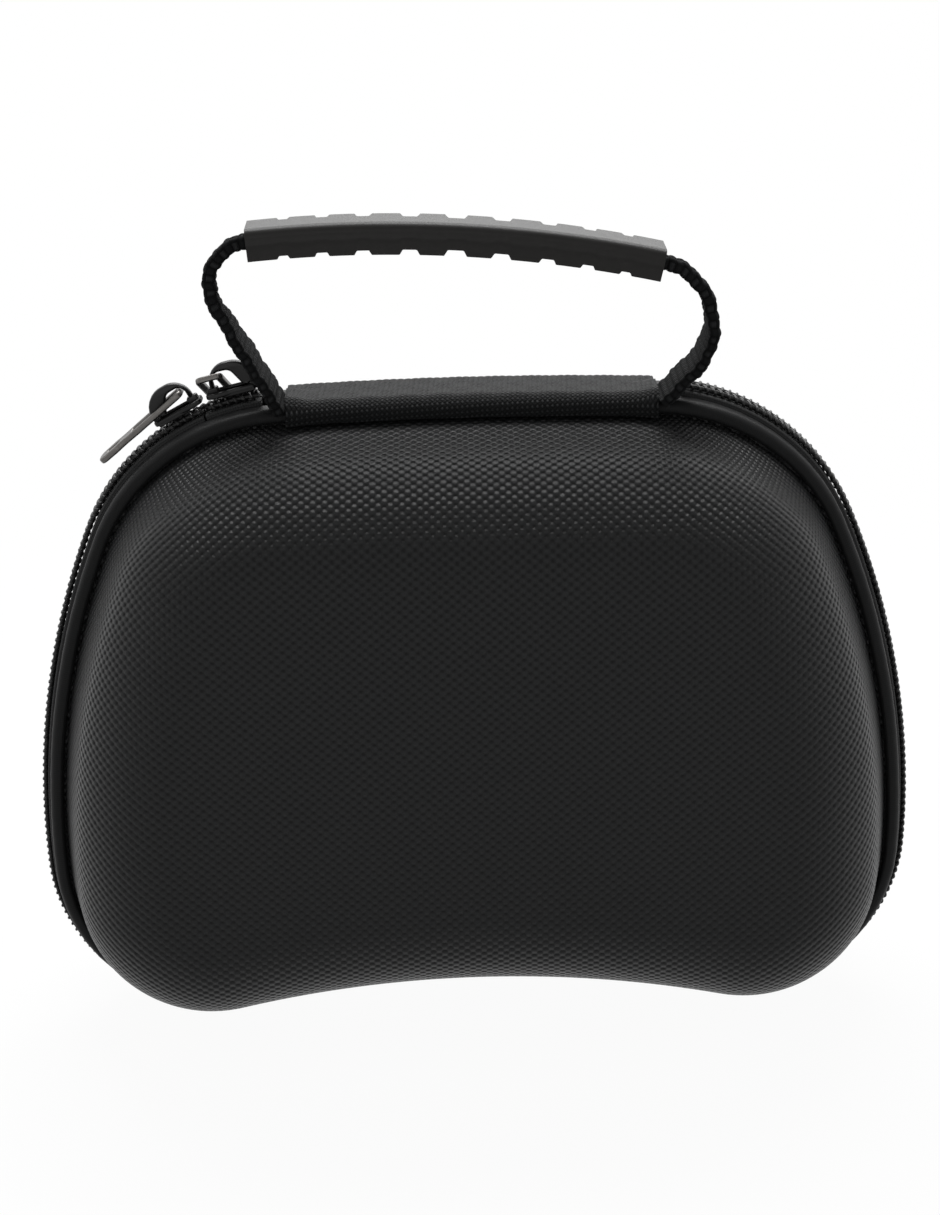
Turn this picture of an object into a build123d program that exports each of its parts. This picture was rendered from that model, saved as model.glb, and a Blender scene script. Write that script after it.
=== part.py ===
from build123d import *
import os
from math import asin, atan2, cos, degrees, hypot, radians, sin, sqrt, tan

os.makedirs("parts", exist_ok=True)

# Zip-round hard-shell case for a game controller, with a webbing handle.
# +X is the width, +Y the depth with the front at -Y, +Z is up. The zip lies in the plane Y = 0
# and the case stands on the zip at its two lobes, at Z = 0. Everything is in millimetres.

# Flange outline, seen from the front
shoulder_x = 34.3
shoulder_z = 87.5
shoulder_r = 41.5
crown_rise = 0.75
side_r = 164.0
lobe_x = 52.8
lobe_r = 32.3
arch_rise = 5.9

# Shell halves
body_depth = 70.0
wall = 3.6
draft_angle = 21.0
face_round = 10.0
flange_t = 3.0
dome_inset = 3.2

# Edge binding round each flange
binding_width = 2.8
binding_edge = 1.0
binding_front = 1.3
binding_back = 0.5
binding_back_round = 0.45
binding_round = 1.8
binding_inner_round = 0.8

# Zip
slot = 0.8
coil_width = 2.4
coil_root = 0.9
zip_proud = 2.24
tape_t = 0.6
tape_reach = 5.0
zip_to_handle = 1.8
held_gap = 0.4
track_angle = 59.0
tooth_pitch = 1.5
tooth_slot = 0.55
tooth_depth = 0.5
front_shift = 0.25
rear_shift = 0.75

# Fabric hinge at the top
strip_t = 0.8
strip_gap = 0.1
strip_lap = 2.9
strip_round = 1.5

# Handle
webbing_w = 12.0
webbing_t = 2.2
folded_w = 3.6
foot_drop = 0.75
left_tuck = 5.1
right_tuck = 0.3
left_bend_share = 0.276
right_bend_share = 0.414
grip_length = 77.4
grip_height = 29.0
grip_rise = 3.0
grip_tilt = -4.3
grip_x = -1.4
grip_skin = 1.5
grip_gap = 0.1
grip_depth = 9.6
grip_drop = 5.9
grip_edge_round = 1.2
notch_places = (0, 0.11, 0.222, 0.32, 0.413)
notch_w = 3.7
notch_depth = 1.1
rear_notch_depth = 3.3
notch_shrink = 1.1

# Sliders
slider_length = 10.4
slider_width = 5.2
slider_wing = 1.0
slider_float = 0.55
slider_neck = 0.4
neck_length = 4.0
inner_wing = 0.9
inner_wing_width = 4.6
inner_wing_length = 9.4
inner_gap = 0.6
slider_corner = 1.5
slider_to_handle = 1.9
slider_spacing = 0.75
crown_length = 9.2
crown_height = 5.2
crown_shift = 0.5
crown_width = 1.8
crown_t = 1.5
crown_round = 4.4
crown_hole_shift = 0.6
crown_hole_round = 1.5

# Pull tabs
pull_length = 21.6
pull_width = 5.4
pull_t = 1.2
pull_corner = 1.6
pull_window = 2.6
pull_window_length = 12.0
pull_tilt = 12.0
hung_tilt = 28.0
pin_r = 0.6
pin_gap = 0.3
hang_gap = 0.2

# Inside
pocket_t = 0.6
wall_gap = 0.25
pocket_top = 78.0
pocket_y = 5.2
hem_height = 8.0
hem_t = 1.6
strap_z = 66.0
strap_height = 25.0
strap_t = 1.4
strap_y = 6.2

# Layers of one half, counted from the zip plane
coil_start = slot / 2
leg_start = coil_start + coil_width
back_start = leg_start + tape_t
flange_start = back_start + binding_back
flange_end = flange_start + flange_t
binding_end = flange_end + binding_front
half_depth = body_depth / 2

# Centres of the outline's arcs, worked out so that neighbours are tangent
lobe_z = zip_proud + lobe_r
crown_top = shoulder_z + shoulder_r + crown_rise
crown_c = crown_top - shoulder_r
crown_z = (crown_c**2 - shoulder_x**2 - shoulder_z**2) / (2 * (crown_c - shoulder_z))
crown_r = crown_top - crown_z
arch_top = zip_proud + arch_rise
arch_c = arch_top + lobe_r
arch_z = (arch_c**2 - lobe_x**2 - lobe_z**2) / (2 * (arch_c - lobe_z))
arch_r = arch_top - arch_z
span = hypot(lobe_x - shoulder_x, lobe_z - shoulder_z)
to_shoulder = side_r - shoulder_r
to_lobe = side_r - lobe_r
along = (to_shoulder**2 - to_lobe**2 + span**2) / (2 * span)
across = sqrt(to_shoulder**2 - along**2)
down = ((lobe_x - shoulder_x) / span, (lobe_z - shoulder_z) / span)
side_x = shoulder_x + along * down[0] + across * down[1]
side_z = shoulder_z + along * down[1] - across * down[0]
crown_angle = degrees(atan2(shoulder_z - crown_z, shoulder_x))
shoulder_angle = degrees(atan2(shoulder_z - side_z, shoulder_x - side_x))
lobe_angle = degrees(atan2(lobe_z - side_z, lobe_x - side_x))
arch_angle = degrees(atan2(lobe_z - arch_z, lobe_x))


def outline_arcs():
    """The outline's arcs: centre, radius, start angle, swept angle, and 1 where it bulges outward."""
    arcs = [
        ((0, crown_z), crown_r, crown_angle, 180 - 2 * crown_angle, 1),
        ((0, arch_z), arch_r, arch_angle, 180 - 2 * arch_angle, -1),
    ]
    for side, turn in ((1, 0), (-1, 180)):
        for x, z, radius, low, high in (
            (shoulder_x, shoulder_z, shoulder_r, shoulder_angle, crown_angle),
            (side_x, side_z, side_r, lobe_angle, shoulder_angle),
            (lobe_x, lobe_z, lobe_r, arch_angle - 180, lobe_angle),
        ):
            start = low if side == 1 else turn - high
            arcs.append(((side * x, z), radius, start, high - low, 1))
    return arcs


def outline(inset):
    """The case's outline as a face, moved in from the flange's edge by inset."""
    edges = []
    for centre, r, start, swept, bulge in outline_arcs():
        edges.append(CenterArc(centre, r - bulge * inset, start, swept))
    return make_face(edges)


def plate(inset, near, far):
    """A flat plate with the outline, between two distances in front of the zip plane."""
    return Pos(0, 0, near) * extrude(outline(inset), amount=far - near)


def band(outer, inner, near, far):
    """A flat ring that follows the outline, between two insets and two distances."""
    return plate(outer, near, far) - plate(inner, near, far)


def dome(inset, near, far, rounding):
    """A drafted dome with a rounded front edge."""
    blank = Pos(0, 0, near) * extrude(outline(inset), amount=far - near, taper=draft_angle)
    rim = blank.faces().sort_by(Axis.Z)[-1].edges()
    return fillet(rim, rounding)


def upright(shape):
    """Stand a shape drawn flat upright, facing the front."""
    return Plane.XZ * shape


def write(shape, name):
    export_step(shape, f"parts/{name}.step")


def write_halves(shape, name):
    """Write a piece for the front half and its mirror for the rear half."""
    front = upright(shape)
    write(front, f"front_{name}")
    write(mirror(front, about=Plane.XZ), f"rear_{name}")


# Shells: a moulded dome with an outward flange, open towards the zip
cavity_inset = dome_inset + wall / cos(radians(draft_angle)) - flange_t * tan(radians(draft_angle))


def shell():
    outside = plate(binding_edge, flange_start, flange_end)
    outside += dome(dome_inset, flange_end, half_depth, face_round)
    return outside - dome(cavity_inset, flange_start, half_depth - wall, face_round - wall)


def binding():
    """Rounded tape folded round the flange's edge."""
    body = plate(0, back_start, binding_end)
    body = fillet(body.faces().sort_by(Axis.Z)[-1].edges(), binding_round)
    body = fillet(body.faces().sort_by(Axis.Z)[0].edges(), binding_back_round)
    body -= plate(binding_width, back_start, binding_end)
    rim = body.faces().sort_by(Axis.Z)[-1].inner_wires()[0].edges()
    body = fillet(rim, binding_inner_round)
    return body - plate(binding_edge, flange_start, flange_end)


# Handle route, in the X-Z plane: two straight legs, two bends and the grip's arc
def turned(vector, angle):
    c, s = cos(radians(angle)), sin(radians(angle))
    return Vector(vector[0] * c - vector[1] * s, vector[0] * s + vector[1] * c)


half_chord = grip_length / 2
base_left = half_chord - grip_x - left_tuck
base_right = half_chord + grip_x - right_tuck
base_z = crown_top - foot_drop
grip_z = base_z + grip_height
bend_left = left_bend_share * grip_height
bend_right = right_bend_share * grip_height
grip_r = (half_chord**2 + grip_rise**2) / (2 * grip_rise)
grip_half_angle = degrees(asin(half_chord / grip_r))
grip_centre = Vector(grip_x, grip_z) + turned((0, grip_rise - grip_r), grip_tilt)


def tangent_point(base, centre, radius, side):
    """Where the straight line from base touches a circle, on the circle's outer side."""
    out = base - centre
    turn = degrees(asin(radius / out.length))
    return centre + turned((out.X, out.Y), side * (90 - turn)) * (radius / out.length)


def leg(base_x, bend, side):
    """One leg: its foot, where it starts to bend, the middle of the bend and the grip's end."""
    towards = turned((0, 1), grip_tilt - side * grip_half_angle)
    end = grip_centre + towards * grip_r
    centre = end - towards * bend
    foot = Vector(side * base_x, base_z)
    start = tangent_point(foot, centre, bend, side)
    middle = centre + ((start - centre) + (end - centre)).normalized() * bend
    return foot, start, middle, end


def handle_route():
    left = leg(base_left, bend_left, -1)
    right = leg(base_right, bend_right, 1)
    top = grip_centre + turned((0, 1), grip_tilt) * grip_r
    return Wire(
        [
            Edge.make_line(left[0], left[1]),
            Edge.make_three_point_arc(left[1], left[2], left[3]),
            Edge.make_three_point_arc(left[3], top, right[3]),
            Edge.make_three_point_arc(right[3], right[2], right[1]),
            Edge.make_line(right[1], right[0]),
        ]
    )


def webbing():
    """The woven strap of the handle, folded narrower where it runs through the grip."""
    route = handle_route()
    section = Plane(route @ 0, x_dir=(0, 0, 1), z_dir=route % 0) * Rectangle(webbing_w, webbing_t)
    strap = Pos(0, 0, webbing_w / 2) * sweep(section, path=route)
    narrow_z = grip_z - bend_right / 2
    wide_z = narrow_z - bend_right
    inner_front = grip_depth - grip_skin - grip_gap
    folded = inner_front - folded_w
    side_view = Polyline(
        (0, base_z - webbing_t),
        (0, wide_z),
        (folded, narrow_z),
        (folded, grip_z + grip_length),
        (inner_front, grip_z + grip_length),
        (inner_front, narrow_z),
        (webbing_w, wide_z),
        (webbing_w, base_z - webbing_t),
        close=True,
    )
    keep = extrude(Plane.YZ * make_face(side_view), amount=grip_length, both=True)
    strap = upright(strap)
    strap &= mirror(keep, about=Plane.XZ)
    return strap - upright(plate(-strip_gap, -half_depth, half_depth))


def sector(inner, outer):
    """A piece of ring round the grip's centre, as long as the grip."""
    low = 90 + grip_tilt - grip_half_angle
    high = 90 + grip_tilt + grip_half_angle
    ends = [
        (grip_centre + turned((r, 0), low), grip_centre + turned((r, 0), high)) for r in (inner, outer)
    ]
    return make_face(
        [
            CenterArc((grip_centre.X, grip_centre.Y), inner, low, high - low),
            CenterArc((grip_centre.X, grip_centre.Y), outer, low, high - low),
            Line(ends[0][0], ends[1][0]),
            Line(ends[0][1], ends[1][1]),
        ]
    )


def grip():
    """A rubber sleeve folded over the webbing's top and front, with notched edges."""
    under = grip_r + webbing_t / 2 + grip_gap
    top = under + grip_skin
    body = extrude(sector(under, top), amount=grip_depth)
    body += Pos(0, 0, grip_depth - grip_skin) * extrude(sector(top - grip_drop, top), amount=grip_skin)
    corner = body.edges().filter_by(lambda e: abs(e.center().Z - grip_depth) < 0.01)
    corner = corner.filter_by(lambda e: e.length > grip_length / 2).sort_by(Axis.Y)[-1]
    body = fillet(corner, grip_edge_round)
    for share in sorted({side * place for place in notch_places for side in (-1, 1)}):
        size = 1 - notch_shrink * abs(share)
        place = Pos(grip_centre.X, grip_centre.Y, 0) * Rot(0, 0, grip_tilt - 2 * grip_half_angle * share)
        rear = Box(size * notch_w, 2 * grip_skin + grip_drop, 2 * size * rear_notch_depth)
        front = Box(size * notch_w, 2 * size * notch_depth, 3 * grip_skin)
        body -= place * Pos(0, top, 0) * rear
        body -= place * Pos(0, top - grip_drop, grip_depth) * front
    return upright(body)


# Zip: the tape is bound into each flange and turns towards the zip plane under the coil
zip_left = base_left + webbing_t + zip_to_handle
zip_right = base_right + webbing_t + zip_to_handle

# Both sliders run on the left shoulder, the right one next to the handle's foot
shoulder_crest = shoulder_r + zip_proud
right_slider_x = base_left + webbing_t + slider_to_handle + slider_length / 2
right_slider_angle = degrees(asin((right_slider_x - shoulder_x) / shoulder_crest))
left_slider_angle = right_slider_angle + degrees((slider_length + slider_spacing) / shoulder_crest)


def top_stretch(left, right):
    """A box over the part of the top edge from left to right of the middle."""
    height = crown_top - shoulder_z + 2 * zip_proud
    middle = (right - left) / 2
    return Pos(middle, shoulder_z + height / 2, 0) * Box(left + right, height, body_depth)


def tape():
    root = -coil_root
    body = band(root, tape_reach, leg_start, back_start)
    return body + band(root, root + tape_t, coil_start, leg_start)


def slot_count(swept, radius):
    return round(radians(swept) * radius / tooth_pitch)


def coil(shift):
    """A coil's outer size, slotted along its crest. Shift is a share of the slots' pitch."""
    slots = []
    for (x, z), r, start, swept, bulge in outline_arcs():
        crest = r + bulge * zip_proud
        count = slot_count(swept, crest)
        cutter = Pos(crest, 0, leg_start / 2) * Box(2 * tooth_depth, tooth_slot, leg_start)
        for i in range(count):
            slots.append(Pos(x, z, 0) * Rot(0, 0, start + (i + shift) * swept / count) * cutter)
    return band(-zip_proud, -coil_root, coil_start, leg_start) - slots


def slider_track():
    """Covers the coil on the left shoulder down to below the sliders, and ends between two slots."""
    start = 180 - crown_angle
    swept = crown_angle - shoulder_angle
    step = swept / slot_count(swept, shoulder_crest)
    end = start + step * round((90 + track_angle - start) / step)
    corner = Pos(crown_top, crown_top, 0) * Box(2 * crown_top, 2 * crown_top, body_depth)
    return Pos(-shoulder_x, shoulder_z, 0) * Rot(0, 0, end - 90) * corner


# The first stretch of the front tape and coil stays in the right slider when the lid opens
zip_end = right_slider_x + slider_length / 2


def zip_pieces():
    """Tapes and coils. The stretch of coil that the sliders run on is a piece of its own."""
    gap = top_stretch(zip_left, zip_right)
    lid_gap = top_stretch(zip_end + held_gap, zip_right)
    held = top_stretch(zip_end, -zip_left)
    track = slider_track()
    rear, front = coil(rear_shift) - gap, coil(front_shift)
    write(mirror(upright(tape() - gap), about=Plane.XZ), "rear_zip_tape")
    write(upright(tape() - lid_gap), "front_zip_tape")
    write(upright(tape() & held), "held_zip_tape")
    write(mirror(upright(rear - track), about=Plane.XZ), "rear_zip_coil")
    write(mirror(upright(rear & track), about=Plane.XZ), "rear_track_coil")
    write(upright((front - lid_gap) - track), "front_zip_coil")
    write(upright((front - lid_gap) & track), "front_track_coil")
    write(upright(front & held), "held_zip_coil")


def hinge_strip():
    """Woven strip lapped over both bindings at the top."""
    outer = binding_end + strip_gap + strip_t
    body = plate(-strip_gap - strip_t, -outer, outer)
    ends = body.faces().sort_by(Axis.Z)
    body = fillet(ends[0].edges() + ends[-1].edges(), strip_round)
    body -= plate(strip_lap, -outer, outer)
    body -= plate(-strip_gap, -binding_end - strip_gap, binding_end + strip_gap)
    left = base_left - webbing_t - strip_gap
    right = base_right - webbing_t - strip_gap
    return upright(body & top_stretch(left, right))


# Sliders: drawn with x along the zip, y across it and z out from the coil's crest
wing_low = slider_float
wing_high = wing_low + slider_wing
lip_inside = coil_root - tape_t - zip_proud
crown_inside = crown_length / 2 - crown_t


def slider():
    """A cast slider: outer wing, neck in the slot, inner wing and an arched crown."""
    outer = RectangleRounded(slider_length, slider_width, slider_corner)
    body = Pos(0, 0, wing_low) * extrude(outer, amount=slider_wing)
    inner_top = lip_inside - inner_gap
    inner = RectangleRounded(inner_wing_length, inner_wing_width, slider_corner)
    body += Pos(0, 0, inner_top - inner_wing) * extrude(inner, amount=inner_wing)
    neck_height = wing_low - inner_top
    body += Pos(0, 0, inner_top + neck_height / 2) * Box(neck_length, slider_neck, neck_height)
    hole = RectangleRounded(2 * crown_inside, 2 * (crown_height - crown_t), crown_hole_round)
    arch = RectangleRounded(crown_length, 2 * crown_height, crown_round) - Pos(crown_hole_shift, 0) * hole
    crown = Plane.XZ * extrude(arch, amount=crown_width / 2, both=True)
    crown &= Pos(0, 0, crown_height) * Box(crown_length, crown_width, 2 * crown_height)
    return body + Pos(-crown_shift, 0, wing_high) * crown


def pull():
    """A flat tab along -x with two prongs and a pin at the origin."""
    length = pull_length + pin_r
    tab = Pos(pin_r - length / 2, 0, 0) * RectangleRounded(length, pull_width, pull_corner)
    tab -= Pos(2 * pin_r - pull_window_length / 2, 0, 0) * Rectangle(pull_window_length, pull_window)
    pin = Rot(90, 0, 0) * Cylinder(pin_r, (pull_width + pull_window) / 2)
    return extrude(tab, amount=pull_t / 2, both=True) + pin


def on_shoulder(shape, angle):
    """Put a shape on the left shoulder's crest, that many degrees from the top."""
    return Pos(-shoulder_x, 0, shoulder_z) * Rot(0, -angle, 0) * Pos(0, 0, shoulder_crest) * shape


# The left pull's pin sits in the rounded upper end of the crown's hole
pin_swing = (crown_hole_round - pin_gap - pin_r) * sqrt(0.5)
pin_x = crown_inside + crown_hole_shift - crown_shift - crown_hole_round + pin_swing
pin_z = wing_high + crown_height - crown_t - crown_hole_round + pin_swing


def left_pull():
    """Lies along the zip, with its pin in the crown's upper end."""
    return on_shoulder(Pos(pin_x, 0, pin_z) * Rot(0, -pull_tilt, 0) * pull(), left_slider_angle)


# The right slider faces the other way, and its pull loops round the crown's left foot
foot_x = crown_shift - crown_length / 2 + (crown_t - crown_hole_shift) / 2
hang_drop = slider_width / 2 * tan(radians(hung_tilt)) + pull_t / 2 / cos(radians(hung_tilt))
foot_z = wing_high + hang_drop + hang_gap
pin_reach = crown_width / 2 + pin_gap + pin_r


def right_pull():
    """Hangs over the rear edge from the crown of the right slider."""
    hung = Rot(-hung_tilt, 0, 0) * Rot(0, 0, -90) * Pos(pin_reach, 0, 0) * pull()
    return on_shoulder(Pos(foot_x, 0, foot_z) * hung, right_slider_angle)


# Inside: a net pocket in the front half and a retaining strap in the rear half
def inside(depth):
    """The inset that clears the cavity's wall at a depth from the zip plane."""
    return cavity_inset + (depth - flange_start) * tan(radians(draft_angle)) + wall_gap


def pocket():
    net = plate(inside(pocket_y + pocket_t), pocket_y, pocket_y + pocket_t)
    return upright(net & below(pocket_top))


def below(height):
    return Pos(0, height - crown_top, 0) * Box(4 * lobe_x + 4 * lobe_r, 2 * crown_top, 4 * body_depth)


def pocket_hem():
    near = pocket_y - (hem_t - pocket_t) / 2
    strip = plate(inside(near + hem_t), near, near + hem_t)
    return upright((strip & below(pocket_top + hem_height)) - below(pocket_top))


def strap():
    """A flat elastic strap from wall to wall across the rear half."""
    body = plate(inside(strap_y + strap_t), strap_y, strap_y + strap_t)
    body &= below(strap_z + strap_height / 2)
    body -= below(strap_z - strap_height / 2)
    return mirror(upright(body), about=Plane.XZ)


write_halves(shell(), "shell")
write_halves(binding(), "binding")
zip_pieces()
write(hinge_strip(), "hinge_strip")
write(webbing(), "handle_webbing")
write(grip(), "handle_grip")
write(on_shoulder(slider(), left_slider_angle), "left_slider")
write(on_shoulder(Rot(0, 0, 180) * slider(), right_slider_angle), "right_slider")
write(left_pull(), "left_pull")
write(right_pull(), "right_pull")
write(pocket(), "mesh_pocket")
write(pocket_hem(), "pocket_hem")
write(strap(), "retaining_strap")
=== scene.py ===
import math
from itertools import pairwise

import bmesh
import bpy
import numpy as np
from mathutils import Matrix, Vector
from mathutils.geometry import delaunay_2d_cdt


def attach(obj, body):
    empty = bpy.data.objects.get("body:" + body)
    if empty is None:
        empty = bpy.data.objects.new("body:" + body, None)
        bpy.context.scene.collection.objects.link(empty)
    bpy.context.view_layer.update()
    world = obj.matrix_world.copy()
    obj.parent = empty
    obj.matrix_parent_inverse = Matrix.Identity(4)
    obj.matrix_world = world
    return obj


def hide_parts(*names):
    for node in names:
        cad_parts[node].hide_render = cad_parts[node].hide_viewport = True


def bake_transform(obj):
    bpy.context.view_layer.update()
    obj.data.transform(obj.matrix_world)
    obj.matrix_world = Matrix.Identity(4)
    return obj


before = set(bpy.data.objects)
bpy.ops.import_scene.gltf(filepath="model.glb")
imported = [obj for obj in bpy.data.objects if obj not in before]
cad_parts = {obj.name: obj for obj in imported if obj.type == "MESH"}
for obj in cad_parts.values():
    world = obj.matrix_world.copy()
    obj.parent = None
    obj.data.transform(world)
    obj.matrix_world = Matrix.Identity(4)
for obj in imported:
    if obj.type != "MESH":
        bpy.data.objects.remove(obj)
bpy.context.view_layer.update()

# Lengths are in millimetres up to the last step, where a mesh is made in metres.
MM = 0.001

# Outline of the case, as in the CAD source
SHOULDER_X, SHOULDER_Z, SHOULDER_R = 34.3, 87.5, 41.5
CROWN_RISE = 0.75
SIDE_R = 164.0
LOBE_X, LOBE_R = 52.8, 32.3
ZIP_PROUD = 2.24
ARCH_RISE = 5.9

# Depths from the zip plane, and insets from the outline. The outside's draft and round follow
# the photo's soft dome, and the CAD shell has 21 degrees and 10 mm there.
TAPE_START, TAPE_END = 2.8, 3.4
FLANGE_START, FLANGE_END = 3.9, 6.9
BINDING_END = 8.2
HALF_DEPTH = 35.0
LINING_END = 31.4
DRAFT, LINING_DRAFT = math.radians(14.0), math.radians(21.0)
FACE_ROUND, LINING_ROUND = 20.0, 6.4
DOME_INSET, LINING_INSET = 3.2, 5.9

# Ends of the zip along the top
ZIP_RIGHT, ZIP_LEFT = 41.0, -39.0
ZIP_END, HELD_START = -49.9, -49.5
TOOTH_PITCH = 1.5

# Handle
BASE_LEFT, BASE_RIGHT, BASE_Z = 35.0, 37.0, 129.0
BEND_LEFT, BEND_RIGHT = 8.0, 12.0
GRIP_LENGTH, GRIP_RISE, GRIP_TILT = 77.4, 3.0, math.radians(-4.3)
GRIP_X, GRIP_Z = -1.4, 158.0
NARROW_Z, WIDE_Z = 152.0, 140.0
NOTCH_PLACES = (0, 0.11, 0.222, 0.32, 0.413)
NOTCH_W, NOTCH_DEPTH, REAR_NOTCH_DEPTH, NOTCH_SHRINK = 3.7, 1.1, 3.3, 1.1
WEBBING_T, WEBBING_W = 2.2, 12.0
RIB_PITCH = 1.4

# Sliders: x along the zip, y across it and z out from the coil's crest
LEFT_ANGLE, RIGHT_ANGLE = math.radians(27.82), math.radians(13.216)
SLIDER_LENGTH, SLIDER_WIDTH, SLIDER_CORNER = 10.4, 5.2, 1.5
WING_LOW, WING_HIGH = 0.55, 1.55
INNER_LENGTH, INNER_WIDTH, INNER_LOW, INNER_HIGH = 9.4, 4.6, -3.44, -2.54
NECK_LENGTH, NECK_WIDTH = 4.0, 0.4
CROWN_LENGTH, CROWN_HEIGHT, CROWN_WIDTH, CROWN_SHIFT = 9.2, 5.2, 1.8, 0.5
CROWN_ROUND, HOLE_ROUND, HOLE_SHIFT, HOLE_LENGTH, HOLE_HEIGHT = 4.4, 1.5, 0.6, 6.2, 3.7
LUG_WIDTH = 1.9

# Pull tabs, with the pin at the origin
PULL_LENGTH, PULL_WIDTH, PULL_WAIST, PULL_T = 20.6, 5.4, 4.3, 1.2
WINDOW_LENGTH, WINDOW_WIDTH, PIN_R, PIN_LENGTH = 12.0, 2.6, 0.6, 4.0
PULL_TILT, HUNG_TILT, PIN_REACH = math.radians(12), math.radians(28), 1.8
LEFT_PIN, RIGHT_PIN = (2.1243, 0, 4.1743), (-3.65, 0, 3.8119)

# Inside: the net pocket with its hem, and the elastic strap
NET_INSET, NET_TOP, NET_DEPTH = 6.9, 78.0, 5.5
HEM_LOW, HEM_HIGH, HEM_DEPTH, HEM_T, HEM_INSET = 78.0, 86.0, 5.5, 1.6, 7.1
STRAP_LOW, STRAP_HIGH, STRAP_DEPTH, STRAP_T, STRAP_INSET = 53.5, 78.5, 6.9, 1.4, 7.6


# Camera and light

# Name, place and size in metres, and watts
LIGHTS = (
    ("top_light", (0.0, 0.34, 0.78), (0.7, 0.35), 8.5),
    ("front_light", (-0.2, -1.0, 0.35), (0.7, 0.5), 1.0),
    ("right_light", (0.9, 0.0, 0.4), (0.4, 0.6), 0.9),
    ("left_light", (-0.9, 0.0, 0.4), (0.4, 0.6), 0.9),
    ("back_light", (0.1, 0.95, 0.5), (0.7, 0.5), 2.0),
)
LIT_POINT = (0, 0, 0.08)
WORLD_LIGHT = 0.3


def make_camera():
    """The photograph's camera, from its fitted angles, distance and focal length in pixels."""
    azimuth, elevation, roll = -0.012, 0.35, -0.024
    distance, target = 500.0, Vector((0, 0, 85.347))
    focal, middle_x, frame_w, frame_h = 2528.342, 471.028, 940, 1215
    flat = Vector((math.cos(azimuth), math.sin(azimuth), 0))
    back = Vector((math.sin(azimuth), -math.cos(azimuth), 0)) * math.cos(elevation)
    back.z = math.sin(elevation)
    up = back.cross(flat)
    right = flat * math.cos(roll) + up * math.sin(roll)
    up = back.cross(right)
    data = bpy.data.cameras.new("camera")
    data.sensor_width = 36
    data.lens = focal / frame_h * data.sensor_width
    data.shift_x = (frame_w / 2 - middle_x) / frame_h
    data.clip_start, data.clip_end = 0.01, 20
    camera = bpy.data.objects.new("camera", data)
    turn = Matrix((right, up, back)).transposed()
    camera.matrix_world = Matrix.Translation((target + back * distance) * MM) @ turn.to_4x4()
    bpy.context.scene.collection.objects.link(camera)
    bpy.context.scene.camera = camera


def make_lights():
    for name, place, size, watts in LIGHTS:
        data = bpy.data.lights.new(name, "AREA")
        data.shape = "RECTANGLE"
        data.size, data.size_y = size
        data.energy = watts
        light = bpy.data.objects.new(name, data)
        light.location = place
        light.rotation_mode = "QUATERNION"
        light.rotation_quaternion = (Vector(LIT_POINT) - Vector(place)).to_track_quat("-Z", "Y")
        bpy.context.scene.collection.objects.link(light)


def seen_ray(tree):
    """1 for the rays that show the white background: direct, mirrored or let through."""
    path = tree.nodes.new("ShaderNodeLightPath")
    seen = path.outputs["Is Camera Ray"]
    for kind in ("Is Glossy Ray", "Is Transmission Ray"):
        either = tree.nodes.new("ShaderNodeMath")
        either.operation = "MAXIMUM"
        tree.links.new(seen, either.inputs[0])
        tree.links.new(path.outputs[kind], either.inputs[1])
        seen = either.outputs[0]
    return seen


def make_world():
    """White where it is seen, and dimmer as a light."""
    world = bpy.data.worlds.new("studio")
    bpy.context.scene.world = world
    world.use_nodes = True
    nodes, links = world.node_tree.nodes, world.node_tree.links
    nodes.clear()
    dim, bright = nodes.new("ShaderNodeBackground"), nodes.new("ShaderNodeBackground")
    dim.inputs["Strength"].default_value = WORLD_LIGHT
    for shade in (dim, bright):
        shade.inputs["Color"].default_value = (1, 1, 1, 1)
    mix, out = nodes.new("ShaderNodeMixShader"), nodes.new("ShaderNodeOutputWorld")
    links.new(seen_ray(world.node_tree), mix.inputs["Fac"])
    links.new(dim.outputs[0], mix.inputs[1])
    links.new(bright.outputs[0], mix.inputs[2])
    links.new(mix.outputs[0], out.inputs["Surface"])


# Materials

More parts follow.
